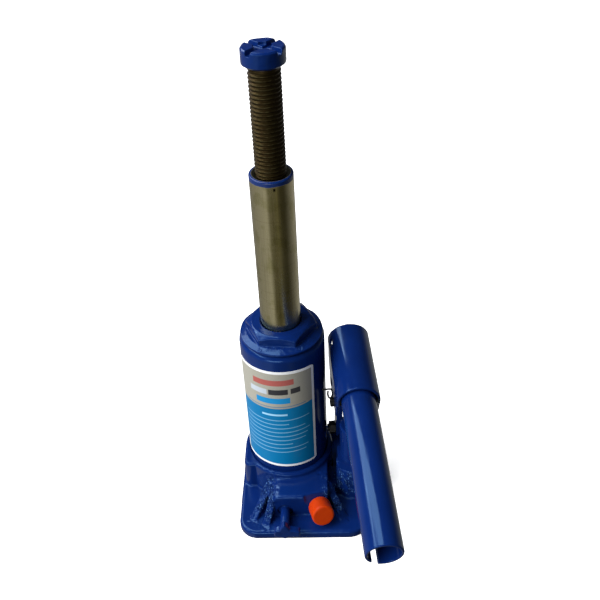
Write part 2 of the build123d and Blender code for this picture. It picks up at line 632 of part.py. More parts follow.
# the link's lower pin has a thread and a nut
with BuildPart() as base_pin:
    add(clevis_pin(BASE_PIN, LINK_OUT, LINK_OUT + GAP).part)
    with BuildSketch(lever_side(-PIN_REACH)):
        with Locations(BASE_PIN):
            Circle(PIN_THREAD_R)
    extrude(amount=PIN_REACH - LINK_OUT)
save(base_pin, "base_pin")
with BuildPart() as pin_nut:
    with BuildSketch(lever_side(-LINK_OUT - GAP - NUT_T)):
        with Locations(BASE_PIN):
            RegularPolygon(PIN_NUT_ACROSS_FLATS / 2, 6, major_radius=False)
            Circle(PIN_THREAD_R, mode=Mode.SUBTRACT)
    extrude(amount=NUT_T)
save(pin_nut, "base_pin_nut")

# ---------------------------------------------------------------- handle socket and handle
CROSS_HOLE_R, CROSS_HOLE_AT = 2.3, 44.5
CROSS_HOLE_TILT = radians(25)  # the hole is higher on the tank's side
OPEN_L = 43  # the underside is open this far from the near end
EAR_BACK = 28.5
slope = sin(SOCKET_TILT) / cos(SOCKET_TILT)


def axis_height(back):
    """Height of the socket's axis at a distance back from the pump."""
    return SOCKET_NEAR[1] + (back - SOCKET_NEAR[0]) * slope


with BuildPart() as socket:
    with BuildSketch(socket_plane):
        Circle(SOCKET_R)
    extrude(amount=SOCKET_L)
    # the sides run straight down as two ears
    near = SOCKET_NEAR[0]
    with BuildSketch(lever_side(-EAR_OUT)) as ears:
        with BuildLine():
            Polyline(
                (near + 1.5, axis_height(near) - 9), (near + 9.5, PLUNGER_PIN[1] - 5.6),
                (LINK_PIN[0] + 6.5, LINK_PIN[1] - 5.8), (EAR_BACK + 3, axis_height(EAR_BACK) - 10),
                (EAR_BACK + 3, axis_height(EAR_BACK + 3)), (near, axis_height(near)), close=True,
            )
        make_face()
        fillet(ears.vertices().sort_by(Axis.Y)[:2], 4)
    extrude(amount=2 * EAR_OUT)
    # inside of the tube, and the slot between the ears
    with BuildSketch(socket_plane.offset(-2)):
        Circle(EAR_IN)
    extrude(amount=SOCKET_L + 4, mode=Mode.SUBTRACT)
    with BuildSketch(lever_side(-EAR_IN)):
        with BuildLine():
            Polyline(
                (near - 8, axis_height(near - 8)), (near - 8, 70), (EAR_BACK - 1, 70),
                (EAR_BACK - 1, axis_height(EAR_BACK - 1)), close=True,
            )
        make_face()
    extrude(amount=2 * EAR_IN, mode=Mode.SUBTRACT)
    # the near end is cut back below the middle
    with BuildSketch(lever_side(-SOCKET_R - 1)):
        with BuildLine():
            Polyline(
                (near - 6, axis_height(near) + 1), (near + 1.2, axis_height(near) - 4),
                (near + 9.5, PLUNGER_PIN[1] - 7), (near - 6, PLUNGER_PIN[1] - 7), close=True,
            )
        make_face()
    extrude(amount=2 * SOCKET_R + 2, mode=Mode.SUBTRACT)
    with BuildSketch(lever_side(-SOCKET_R - 1)):
        with Locations(PLUNGER_PIN, LINK_PIN):
            Circle(PIN_R)
    extrude(amount=2 * SOCKET_R + 2, mode=Mode.SUBTRACT)
    cross_dir = U_DIR * cos(CROSS_HOLE_TILT) - U_DIR.cross(tube_dir) * sin(CROSS_HOLE_TILT)
    cross = Plane(origin=socket_plane.offset(CROSS_HOLE_AT).origin, z_dir=cross_dir)
    with BuildSketch(cross.offset(-SOCKET_R - 1)):
        Circle(CROSS_HOLE_R)
    extrude(amount=2 * SOCKET_R + 2, mode=Mode.SUBTRACT)
save(socket, "handle_socket")

with BuildPart() as handle:
    with BuildSketch(socket_plane.offset(-HANDLE_OUT)):
        Circle(HANDLE_R)
        Circle(HANDLE_R - HANDLE_WALL, mode=Mode.SUBTRACT)
    extrude(amount=HANDLE_OUT + HANDLE_IN)
    # key slot at the near end, low on the tank's side
    notch_dir = Vector(U_DIR) * -sin(radians(NOTCH_TURN))
    notch_dir = notch_dir + Vector(0, 0, -cos(radians(NOTCH_TURN)))
    near_end = socket_plane.offset(-HANDLE_OUT).origin
    notch_dir = notch_dir - tube_dir * notch_dir.dot(tube_dir)
    notch = Plane(origin=near_end, x_dir=tube_dir, z_dir=notch_dir)
    with BuildSketch(notch):
        with Locations((NOTCH_D / 2 - 2, 0)):
            SlotOverall(NOTCH_D + 4, NOTCH_W)
    extrude(amount=HANDLE_R + 2, mode=Mode.SUBTRACT)
save(handle, "handle_tube")

# ---------------------------------------------------------------- release valve
wing_back = BOSS_FRONT - PLATE_FRONT + 0.7  # the wing clears the plate's front edge
with BuildPart() as release:
    with BuildSketch(release_plane.offset(-RELEASE_BORE_L + 5)):
        Circle(RELEASE_TIP_R)
    extrude(amount=9)
    with BuildSketch(release_plane.offset(-RELEASE_BORE_L + 13)):
        Circle(RELEASE_BORE_R - RUNNING)
    extrude(amount=RELEASE_BORE_L - 14)
    with BuildSketch(release_plane.offset(-1)):
        Circle(RELEASE_STEM_R)
    extrude(amount=1 + wing_back)
    with BuildSketch(release_plane.offset(wing_back)) as wing:
        with Locations(((WING_RIGHT - WING_LEFT) / 2, 0)):
            Rectangle(WING_LEFT + WING_RIGHT, WING_H)
        Circle(WING_HUB_R)
        fillet(wing.vertices().group_by(Axis.X)[0] + wing.vertices().group_by(Axis.X)[-1], 1.8)
    extrude(amount=WING_D)
    chamfer(release.faces().sort_by(Axis.Y)[0].edges(), 0.6)
    with BuildSketch(release_plane.offset(-8)):
        Circle(RELEASE_BORE_R + 1)
        Circle(RELEASE_TIP_R - 0.4, mode=Mode.SUBTRACT)
    extrude(amount=2.2, mode=Mode.SUBTRACT)
save(release, "release_valve_screw")
save(
    ring(RELEASE_TIP_R - 0.4, RELEASE_BORE_R - 0.02, -7.9, -5.9, release_plane),
    "release_valve_seal",
)
BALL_R = 2.2
release_ball_at = -RELEASE_BORE_L + 1.75
save(ball(release_plane.from_local_coords((0, 0, release_ball_at)), BALL_R), "release_valve_ball")

# ---------------------------------------------------------------- overload valve
with BuildPart() as cap:
    with BuildSketch(relief_plane.offset(-SPOT_D + 0.1)):
        Circle(RELIEF_CAP_R)
    extrude(amount=RELIEF_CAP_L + SPOT_D - 0.1)
    fillet(cap.faces().sort_by(Axis(relief_plane.origin, relief_out))[-1].edges(), 1.4)
    with BuildSketch(relief_plane.offset(-4)):
        Circle(RELIEF_BORE_R - 0.1)
    extrude(amount=4 - SPOT_D + 0.1)
    with BuildSketch(relief_plane.offset(-4)):
        Circle(RELIEF_BORE_R - 1.6)
    extrude(amount=RELIEF_CAP_L + 1.5, mode=Mode.SUBTRACT)
save(cap, "overload_valve_cap")
with BuildPart() as adjuster:
    with BuildSketch(relief_plane.offset(-10)):
        Circle(RELIEF_BORE_R)
    extrude(amount=5.5)
    with BuildSketch(relief_plane.offset(-4.5)):
        RegularPolygon(2, 6, major_radius=False)
    extrude(amount=-3, mode=Mode.SUBTRACT)
save(adjuster, "overload_valve_screw")
relief_ball_at = -RELIEF_BORE_L + 1.75
save(ball(relief_plane.from_local_coords((0, 0, relief_ball_at)), BALL_R), "overload_valve_ball")
SPRING_WIRE = 0.5
relief_spring_seat = relief_ball_at + BALL_R + SPRING_WIRE
save(
    coil_spring(
        relief_plane.offset(relief_spring_seat), 2.4, SPRING_WIRE,
        -10 - SPRING_WIRE - 0.05 - relief_spring_seat, 4,
    ),
    "overload_valve_spring",
)

# ---------------------------------------------------------------- check valves and filter
inlet_ball_z = INLET_SEAT + 2.05
save(ball(PUMP_FOOT + Vector(0, 0, inlet_ball_z), 2.75), "inlet_check_ball")
outlet_ball_z = OUTLET_SEAT + 1.7
save(ball((0, 0, outlet_ball_z), BALL_R), "outlet_check_ball")
save(
    ring(1.2, OUTLET_POCKET_R, CYLINDER_FLOOR - 1, CYLINDER_FLOOR), "outlet_valve_retainer"
)
outlet_spring_seat = outlet_ball_z + BALL_R - 0.5
save(
    coil_spring(
        Plane.XY.offset(outlet_spring_seat), 1.9, 0.25, CYLINDER_FLOOR - 1.3 - outlet_spring_seat, 4
    ),
    "outlet_check_spring",
)
save(
    ring(0, 3.4, TANK_FLOOR, TANK_FLOOR + 0.8, Plane(origin=SUCTION, z_dir=(0, 0, 1))),
    "suction_filter",
)

# ---------------------------------------------------------------- filler plug and label
filler_plane = Plane(origin=(0, TANK_R, FILLER_Z), z_dir=(0, 1, 0))
with BuildPart() as filler:
    with BuildSketch(filler_plane.offset(-4)):
        Circle(3.9)
    extrude(amount=4.6)
    with BuildSketch(filler_plane.offset(0.3)):
        Circle(6.5)
    extrude(amount=2.6)
    fillet(filler.edges().sort_by(Axis.Y)[-1], 1.8)
save(filler, "oil_filler_plug")

with BuildPart() as label:
    with BuildSketch(Plane.XY.offset(LABEL_BOTTOM)):
        with BuildLine():
            middle = (LABEL_START + LABEL_END) / 2
            ends = []
            for r in (TANK_R + 0.01, TANK_R + LABEL_T):
                turns = (radians(a) for a in (LABEL_START, middle, LABEL_END))
                at = [(r * cos(a), r * sin(a)) for a in turns]
                ThreePointArc(*at)
                ends.append(at)
            Line(ends[0][0], ends[1][0])
            Line(ends[0][2], ends[1][2])
        make_face()
    extrude(amount=LABEL_TOP - LABEL_BOTTOM)
save(label, "name_label")
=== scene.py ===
import json
from math import cos, hypot, pi, radians, sin, tan

import bmesh
import bpy
from mathutils import Matrix, Vector, noise


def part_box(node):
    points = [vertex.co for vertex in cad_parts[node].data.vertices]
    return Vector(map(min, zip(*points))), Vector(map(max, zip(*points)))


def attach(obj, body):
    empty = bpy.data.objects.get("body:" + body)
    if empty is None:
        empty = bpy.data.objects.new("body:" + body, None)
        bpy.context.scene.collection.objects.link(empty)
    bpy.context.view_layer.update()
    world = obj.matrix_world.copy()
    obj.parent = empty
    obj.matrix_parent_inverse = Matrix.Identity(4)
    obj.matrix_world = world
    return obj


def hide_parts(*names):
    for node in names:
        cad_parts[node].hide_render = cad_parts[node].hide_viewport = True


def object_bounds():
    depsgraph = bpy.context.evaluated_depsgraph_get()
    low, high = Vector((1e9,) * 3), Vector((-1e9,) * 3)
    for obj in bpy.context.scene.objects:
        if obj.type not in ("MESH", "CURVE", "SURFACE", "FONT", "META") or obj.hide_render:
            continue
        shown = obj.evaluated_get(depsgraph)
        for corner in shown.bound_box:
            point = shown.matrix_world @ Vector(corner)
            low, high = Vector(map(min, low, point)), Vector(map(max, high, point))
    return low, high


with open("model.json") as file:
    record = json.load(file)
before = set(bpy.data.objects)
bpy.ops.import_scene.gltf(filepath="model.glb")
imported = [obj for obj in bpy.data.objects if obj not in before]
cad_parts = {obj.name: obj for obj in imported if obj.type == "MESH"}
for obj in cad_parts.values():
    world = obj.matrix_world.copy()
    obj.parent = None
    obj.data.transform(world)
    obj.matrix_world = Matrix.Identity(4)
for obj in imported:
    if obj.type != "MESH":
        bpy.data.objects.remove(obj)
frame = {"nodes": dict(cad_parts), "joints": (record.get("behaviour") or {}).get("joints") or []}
cad_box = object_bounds()

# The looks of a hydraulic bottle jack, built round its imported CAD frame, with +Z up. The frame is
# in metres. Shapes are written in millimetres here and scaled by MM.
MM = 0.001
nodes = frame["nodes"]
joints = {j["name"]: j for j in frame["joints"]}
scene = bpy.context.scene
SHARP = radians(38)  # edges sharper than this stay crisp under smooth shading
WELD = 0.001 * MM  # points closer than this become one


# ---------------------------------------------------------------- sizes read from the frame
def box_mm(node):
    """The low and high corners of a CAD node's box, in millimetres."""
    low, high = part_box(node)
    return low / MM, high / MM


def middle_of(node):
    """The middle of a CAD node's box, in metres."""
    low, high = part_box(node)
    return (low + high) / 2


def axis_frame(origin, direction):
    """A matrix whose Z runs along direction, from origin."""
    turn = Vector(direction).to_track_quat("Z", "Y")
    return Matrix.Translation(origin) @ turn.to_matrix().to_4x4()


# ---------------------------------------------------------------- mesh helpers
def mesh_object(name, vertices, faces, place=None):
    """A smooth-shaded mesh object from points in millimetres."""
    mesh = bpy.data.meshes.new(name)
    mesh.from_pydata([Vector(v) * MM for v in vertices], [], faces)
    piece = bpy.data.objects.new(name, mesh)
    scene.collection.objects.link(piece)
    if place is not None:
        mesh.transform(place)
    clean(piece)
    return piece


def clean(piece):
    """Welds doubled points, turns faces outward and sets which edges look sharp."""
    work = bmesh.new()
    work.from_mesh(piece.data)
    bmesh.ops.remove_doubles(work, verts=work.verts, dist=WELD)
    bmesh.ops.recalc_face_normals(work, faces=work.faces)
    work.to_mesh(piece.data)
    work.free()
    piece.data.shade_smooth()
    piece.data.set_sharp_from_angle(angle=SHARP)


def applied(piece):
    """Replaces the piece's mesh with what its modifiers make of it."""
    bpy.context.view_layer.update()
    shown = piece.evaluated_get(bpy.context.evaluated_depsgraph_get())
    mesh = bpy.data.meshes.new_from_object(shown)
    piece.modifiers.clear()
    piece.data = mesh
    return piece


def rounded(corners, steps=5):
    """A closed outline through (x, y, rounding) corners, each rounded by an arc."""
    points = []
    for i, (x, y, radius) in enumerate(corners):
        here = Vector((x, y))
        if not radius:
            points.append(here)
            continue
        before = (Vector(corners[i - 1][:2]) - here).normalized()
        after = (Vector(corners[(i + 1) % len(corners)][:2]) - here).normalized()
        half = before.angle(after) / 2
        centre = here + (before + after).normalized() * radius / sin(half)
        start = here + before * radius / tan(half) - centre
        end = here + after * radius / tan(half) - centre
        for k in range(steps + 1):
            points.append(centre + start.lerp(end, k / steps).normalized() * radius)
    return points


def lathe(name, corners, place=None, segments=160):
    """A turned piece about Z, from a closed outline of (radius, height, rounding) corners."""
    outline = rounded(corners)
    vertices, faces = [], []
    for s in range(segments):
        turn = 2 * pi * s / segments
        vertices += [(r * cos(turn), r * sin(turn), h) for r, h in outline]
    rows = len(outline)
    for s in range(segments):
        ahead = (s + 1) % segments
        for k in range(rows):
            up = (k + 1) % rows
            faces.append((s * rows + k, s * rows + up, ahead * rows + up, ahead * rows + k))
    return mesh_object(name, vertices, faces, place)


def cut(piece, *cutters):
    """Cuts the cutters out of the piece and removes them."""
    for cutter in cutters:
        change = piece.modifiers.new("cut", "BOOLEAN")
        change.operation, change.solver, change.object = "DIFFERENCE", "EXACT", cutter
    applied(piece)
    for cutter in cutters:
        bpy.data.objects.remove(cutter)
    clean(piece)
    return piece


def softened(node, name, voxel, rounds):
    """A copy of a CAD node with its edges rounded, as a casting or thick paint rounds them.

    The copy is rebuilt on a grid of voxel mm and then smoothed, rounds times.
    """
    piece = bpy.data.objects.new(name, nodes[node].data.copy())
    scene.collection.objects.link(piece)
    remesh = piece.modifiers.new("remesh", "REMESH")
    remesh.mode, remesh.voxel_size = "VOXEL", voxel * MM
    smooth = piece.modifiers.new("smooth", "SMOOTH")
    smooth.factor, smooth.iterations = 0.5, rounds
    applied(piece)
    piece.data.materials.clear()
    piece.data.shade_smooth()
    return piece


def pushed(piece, amount):
    """Moves each point along its normal by amount(point in mm, normal), in mm."""
    mesh = piece.data
    moves = [amount(v.co / MM, v.normal) * MM for v in mesh.vertices]
    normals = [v.normal.copy() for v in mesh.vertices]
    for v, normal, move in zip(mesh.vertices, normals, moves):
        v.co += normal * move
    mesh.update()
    return piece


def finished(piece, material, body, slot, *stands_for):
    """Gives a new piece its material and its body, and hides the CAD nodes that it stands for; slot
    is not used.
    """
    piece.data.materials.clear()
    piece.data.materials.append(material)
    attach(piece, body)
    if stands_for:
        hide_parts(*stands_for)
    return piece


# ---------------------------------------------------------------- material helper
MIX_SHARE, MIX_A, MIX_B, MIXED = 0, 6, 7, 2  # the sockets of a Mix node that mixes colours


class Surface:
    """A Principled material worked out from the piece's own coordinates."""

    def __init__(self, name, **constants):
        self.material = bpy.data.materials.new(name)
        self.material.use_nodes = True
        self.tree = self.material.node_tree
        self.shader = self.tree.nodes["Principled BSDF"]
        for socket, value in constants.items():
            self.shader.inputs[socket.replace("_", " ")].default_value = value
        self.place = self.tree.nodes.new("ShaderNodeTexCoord").outputs["Object"]
        parts = self.tree.nodes.new("ShaderNodeSeparateXYZ")
        self.tree.links.new(self.place, parts.inputs[0])
        self.x, self.y, self.z = parts.outputs
        self.relief = None

    def feed(self, socket, value):
        """Links the socket to another node's output, or sets it to a plain value."""
        if isinstance(value, bpy.types.NodeSocket):
            self.tree.links.new(value, socket)
        else:
            socket.default_value = value

    def math(self, operation, a, b=0.0):
        """One Math node on a and b, each of them a number or another node's output."""
        node = self.tree.nodes.new("ShaderNodeMath")
        node.operation = operation
        self.feed(node.inputs[0], a)
        self.feed(node.inputs[1], b)
        return node.outputs[0]

    def plus(self, a, b):
        return self.math("ADD", a, b)

    def minus(self, a, b):
        return self.math("SUBTRACT", a, b)

    def times(self, a, b):
        return self.math("MULTIPLY", a, b)

    def off_axis(self):
        """Distance from the Z axis, in metres."""
        return self.math("SQRT", self.plus(self.times(self.x, self.x), self.times(self.y, self.y)))

    def step(self, value, low, high):
        """0 below low, 1 above high, smooth between. With low above high it falls instead."""
        node = self.tree.nodes.new("ShaderNodeMapRange")
        node.interpolation_type = "SMOOTHSTEP"
        self.feed(node.inputs["Value"], value)
        node.inputs["From Min"].default_value = min(low, high)
        node.inputs["From Max"].default_value = max(low, high)
        if low > high:
            node.inputs["To Min"].default_value, node.inputs["To Max"].default_value = 1, 0
        return node.outputs["Result"]

    def within(self, value, low, high, out, into):
        """1 between low and high, fading from into inside each end to 0 at out beyond it."""
        return self.times(self.step(value, low - out, low + into),
                          self.step(value, high + out, high - into))

    def noise(self, size, detail=2.0, stretch=(1, 1, 1), rough=0.5):
        """Noise with features of about size mm, stretched along the axes."""
        scale = self.tree.nodes.new("ShaderNodeMapping")
        scale.inputs["Scale"].default_value = [1 / s for s in stretch]
        self.tree.links.new(self.place, scale.inputs["Vector"])
        node = self.tree.nodes.new("ShaderNodeTexNoise")
        node.inputs["Scale"].default_value = 1 / (size * MM)
        node.inputs["Detail"].default_value = detail
        node.inputs["Roughness"].default_value = rough
        self.tree.links.new(scale.outputs[0], node.inputs["Vector"])
        return node.outputs["Fac"]

    def mix(self, share, a, b):
        """Colour a where share is 0 and colour b where it is 1."""
        node = self.tree.nodes.new("ShaderNodeMix")
        node.data_type = "RGBA"
        self.feed(node.inputs[MIX_SHARE], share)
        for socket, value in ((node.inputs[MIX_A], a), (node.inputs[MIX_B], b)):
            self.feed(socket, (*value, 1) if isinstance(value, tuple) else value)
        return node.outputs[MIXED]

    def colour(self, value):
        self.feed(self.shader.inputs["Base Color"], value)

    def roughness(self, value, low, high):
        """Roughness from low to high as value goes from 0.3 to 0.7, the middle of a noise."""
        node = self.tree.nodes.new("ShaderNodeMapRange")
        self.feed(node.inputs["Value"], value)
        node.inputs["From Min"].default_value, node.inputs["From Max"].default_value = 0.3, 0.7
        node.inputs["To Min"].default_value, node.inputs["To Max"].default_value = low, high
        self.feed(self.shader.inputs["Roughness"], node.outputs["Result"])

    def bump(self, height, depth):
        """Adds relief to what is there already: height runs from 0 to 1 over depth mm."""
        node = self.tree.nodes.new("ShaderNodeBump")
        node.inputs["Distance"].default_value = depth * MM
        self.feed(node.inputs["Height"], height)
        if self.relief is not None:
            self.tree.links.new(self.relief, node.inputs["Normal"])
        self.relief = node.outputs["Normal"]
        self.feed(self.shader.inputs["Normal"], self.relief)


# ---------------------------------------------------------------- materials
DEEP_BLUE, LIVELY_BLUE = (0.0016, 0.0105, 0.078), (0.0026, 0.0165, 0.112)
# the second colour on the next line, for pale flecks on pitted paint, is a painted glint, not a tone
# of the paint
RIM_BLUE, PAINTED_GLINT_BLUE, DUST = (0.0014, 0.016, 0.10), (0.08, 0.19, 0.42), (0.03, 0.07, 0.2)
PAINT = {"Specular_IOR_Level": 0.5, "Specular_Tint": (0.3, 0.62, 1.0, 1.0)}


def blue_enamel(name, ripple, grain, rough=()):
    """Glossy blue enamel: ripple is the depth in mm of its slow waves, grain that of its pits.

    Each entry of rough is a box (low corner, high corner, depth of pits), in millimetres, where the
    paint is pitted and gets pale painted glints in its colour.
    """
    paint = Surface(name, **PAINT)
    tone = paint.mix(paint.noise(22, 3), DEEP_BLUE, LIVELY_BLUE)
    dust = paint.step(paint.noise(0.55, 2), 0.72, 0.78)
    paint.roughness(paint.noise(9, 3), 0.09, 0.2)
    paint.bump(paint.noise(14, 1), ripple)
    paint.bump(paint.noise(1.6, 2), grain)
    for low, high, depth in rough:
        # the sand of the mould shows here, so the paint is pitted, and pale flecks painted into its
        # colour stand in for the glints of the pits
        zone = 1.0
        for place, a, b in zip((paint.x, paint.y, paint.z), low, high):
            zone = paint.times(zone, paint.within(place, a * MM, b * MM, 1 * MM, 2 * MM))
        patchy = paint.times(zone, paint.step(paint.noise(6, 2), 0.40, 0.55))
        pits = paint.step(paint.noise(0.9, 3, rough=0.6), 0.3, 0.7)
        paint.bump(paint.times(patchy, pits), depth)
        # the pale flecks are painted glints: light that the pits would catch, put into the colour
        painted_glints = paint.step(paint.noise(0.9, 3, (1, 2, 2.5), rough=0.7), 0.54, 0.66)
        tone = paint.mix(paint.times(patchy, painted_glints), tone, PAINTED_GLINT_BLUE)
    paint.colour(paint.mix(paint.times(dust, 0.35), tone, DUST))
    return paint.material


def ground_steel(rim_low, rim_inside):
    """The ram: ground steel with an olive oil film, and blue paint round its top edge.

    The paint lies above the height rim_low, outside the radius rim_inside, both in metres.
    """
    steel = Surface("ground_steel", Anisotropic=0.4)
    film = steel.mix(steel.noise(14, 3, (1, 1, 3)), (0.42, 0.375, 0.215), (0.56, 0.50, 0.30))
    # rings from the grinding, streaks from the seal and blotches of oil: pattern, strength, colour
    marks = [
        (steel.step(steel.noise(0.9, 3, (60, 60, 1)), 0.55, 0.75), 0.4, (0.24, 0.19, 0.09)),
        (steel.step(steel.noise(1.1, 2, (1, 1, 40)), 0.56, 0.7), 0.3, (0.25, 0.2, 0.1)),
        (steel.step(steel.noise(7, 4, (1, 1, 1.5), rough=0.6), 0.50, 0.64), 0.45,
         (0.30, 0.275, 0.10)),
    ]
    for pattern, strength, tone in marks:
        film = steel.mix(steel.times(pattern, strength), film, tone)

    # the paint's lower edge is ragged, and inside its radius the top face and the mouth of the bore
    # are darker
    ragged = steel.plus(steel.z, steel.times(steel.noise(6, 2), 1.2 * MM))
    band = steel.step(ragged, rim_low + 0.5 * MM, rim_low + 0.8 * MM)
    radius = steel.off_axis()
    rim = steel.times(band, steel.step(radius, rim_inside, rim_inside + 0.3 * MM))
    bore = steel.times(band, steel.step(radius, rim_inside, rim_inside - 0.3 * MM))
    film = steel.mix(bore, film, (0.11, 0.10, 0.055))

    def spot(value, centre, half):
        away = steel.math("ABSOLUTE", steel.minus(value, centre))
        return steel.step(away, half, half * 0.4)

    # one dark nick at the front, just under the paint
    nick = steel.times(spot(steel.x, 2.1 * MM, 0.9 * MM), spot(steel.z, rim_low - 1.6 * MM, 1.2 * MM))
    nick = steel.times(nick, steel.step(steel.y, 0, -1 * MM))
    film = steel.mix(nick, film, (0.02, 0.012, 0.006))
    steel.colour(steel.mix(rim, film, RIM_BLUE))
    steel.feed(steel.shader.inputs["Metallic"], steel.minus(1.0, rim))
    steel.roughness(steel.noise(5, 3, (1, 1, 6)), 0.2, 0.34)
    steel.bump(steel.noise(0.25, 2, (80, 80, 1)), 0.006)
    return steel.material


def oiled_steel(crest):
    """The extension screw: dark oily steel, worn brighter near the radius crest, in metres."""
    steel = Surface("oiled_steel", Metallic=0.85)
    tone = steel.mix(steel.noise(7, 3, (1, 1, 2)), (0.043, 0.034, 0.009), (0.040, 0.021, 0.006))
    worn = steel.times(steel.step(steel.off_axis(), crest - 0.3 * MM, crest),
                       steel.step(steel.noise(1.5, 3), 0.42, 0.62))
    steel.colour(steel.mix(worn, tone, (0.085, 0.072, 0.030)))
    steel.roughness(steel.noise(3, 3), 0.36, 0.52)
    steel.bump(steel.noise(0.5, 2), 0.02)
    return steel.material


def plain_metal(name, dark, light, low, high, grain=0.02):
    """Machined or drawn metal between two close tones."""
    metal = Surface(name, Metallic=1.0)
    metal.colour(metal.mix(metal.noise(5, 3), dark, light))
    metal.roughness(metal.noise(3, 3), low, high)
    metal.bump(metal.noise(0.6, 2), grain)
    return metal.material


def black_wire():
    """Blackened steel wire and pins."""
    wire = Surface("black_wire", Metallic=0.6)
    wire.colour(wire.mix(wire.noise(3, 3), (0.006, 0.006, 0.007), (0.02, 0.019, 0.018)))
    wire.roughness(wire.noise(2, 2), 0.3, 0.5)
    wire.bump(wire.noise(0.5, 2), 0.02)
    return wire.material


def orange_vinyl():
    """The soft orange cap."""
    vinyl = Surface("orange_vinyl", Specular_IOR_Level=0.2, Subsurface_Weight=0.08)
    vinyl.shader.inputs["Subsurface Radius"].default_value = (0.002, 0.0008, 0.0004)
    vinyl.colour(vinyl.mix(vinyl.noise(6, 2), (0.36, 0.024, 0.0006), (0.45, 0.038, 0.0015)))
    vinyl.roughness(vinyl.noise(4, 3), 0.34, 0.48)
    vinyl.bump(vinyl.noise(0.7, 2), 0.025)
    return vinyl.material


def rubber():
    """Black seals and gaskets."""
    seal = Surface("black_rubber", Specular_IOR_Level=0.3)
    seal.colour(seal.mix(seal.noise(3, 2), (0.012, 0.012, 0.013), (0.022, 0.021, 0.02)))
    seal.roughness(seal.noise(2, 2), 0.5, 0.7)
    seal.bump(seal.noise(0.6, 2), 0.03)
    return seal.material


# how far the label's upper edge bows up, by the share of its length: constant, linear, square
LABEL_BOW = (-1.1 * MM, 4.6 * MM, -3.5 * MM)


def label_print(radius, start, end, low, high):
    """The plain print of the label: border, silver field, cyan panel, bars and fine rules.

    start and end are angles round the tank in radians, the rest is in metres.
    """
    foil = Surface("label_print", Specular_IOR_Level=0.16)
    angle = foil.math("ARCTAN2", foil.y, foil.x)
    angle = foil.math("MODULO", foil.plus(angle, 2 * pi), 2 * pi)
    across = foil.times(foil.minus(angle, start), radius)
    width = (end - start) * radius
    margin, blur = 1.9 * MM, 0.12 * MM
    panel_top = low + 0.615 * (high - low)

    # the printed panels rise a little towards the right, as the sheet was laid on
    share = foil.math("DIVIDE", across, width)
    rise = foil.times(share, foil.plus(foil.times(share, 2.8 * MM), 1.2 * MM))
    print_z = foil.minus(foil.z, rise)
    # the border follows the bow of the upper edge
    bow = foil.plus(foil.times(share, LABEL_BOW[1]), LABEL_BOW[0])
    bow = foil.plus(bow, foil.times(foil.times(share, share), LABEL_BOW[2]))
    upper = foil.step(foil.z, (low + high) / 2, high)
    edge_z = foil.minus(foil.z, foil.times(bow, upper))

    def bar(left, right, top, bottom, zero=high):
        """A bar between two shares of the width, from top to bottom in mm down from zero."""
        return foil.times(
            foil.within(across, left * width, right * width, blur, blur),
            foil.within(print_z, zero - bottom * MM, zero - top * MM, blur, blur))

    picture = foil.mix(foil.noise(0.35, 2, (1, 1, 4)), (0.27, 0.265, 0.225), (0.37, 0.36, 0.31))
    red = bar(0.27, 0.75, 8.3, 12.9)
    picture = foil.mix(foil.times(red, 0.75), picture, (0.36, 0.02, 0.02))
    for left, right, tone in ((0.22, 0.44, (0.44, 0.49, 0.55)), (0.46, 0.68, (0.03, 0.03, 0.035)),
                              (0.71, 0.82, (0.04, 0.04, 0.045))):
        picture = foil.mix(bar(left, right, 16.2, 20.6), picture, tone)
    picture = foil.mix(bar(0.30, 0.70, 23.6, 28.3), picture, (0.01, 0.22, 0.50))
    rule = bar(0.14, 0.88, -2.0, -1.1, panel_top)
    picture = foil.mix(foil.times(rule, 0.6), picture, (0.02, 0.14, 0.32))
    cyan = foil.mix(foil.noise(20, 2), (0.001, 0.135, 0.32), (0.002, 0.16, 0.37))
    panel = foil.within(print_z, low - 5 * MM, panel_top, blur, blur)
    picture = foil.mix(panel, picture, cyan)

    # a heading, and rows of fine rules of uneven length under it
    ink = foil.times(bar(0.36, 0.66, 4.8, 6.4, panel_top), 0.8)
    first_row, row_pitch, row_height = 10.2, 3.7, 0.75
    for row in range(9):
        top = first_row + row_pitch * row
        right = 0.92 - 0.22 * ((row * 7) % 5 == 2) - 0.03 * (row % 3)
        line = bar(0.10, right, top, top + row_height, panel_top)
        ink = foil.math("MAXIMUM", ink, foil.times(line, 0.42))
    picture = foil.mix(ink, picture, (0.36, 0.66, 0.88))

    inside = foil.times(foil.within(across, margin, width - margin, blur, blur),
                        foil.within(edge_z, low + margin, high - margin, blur, blur))
    foil.colour(foil.mix(inside, (0.80, 0.82, 0.84), picture))
    foil.roughness(foil.noise(8, 2), 0.3, 0.42)
    foil.bump(foil.noise(5, 2), 0.02)
    return foil.material


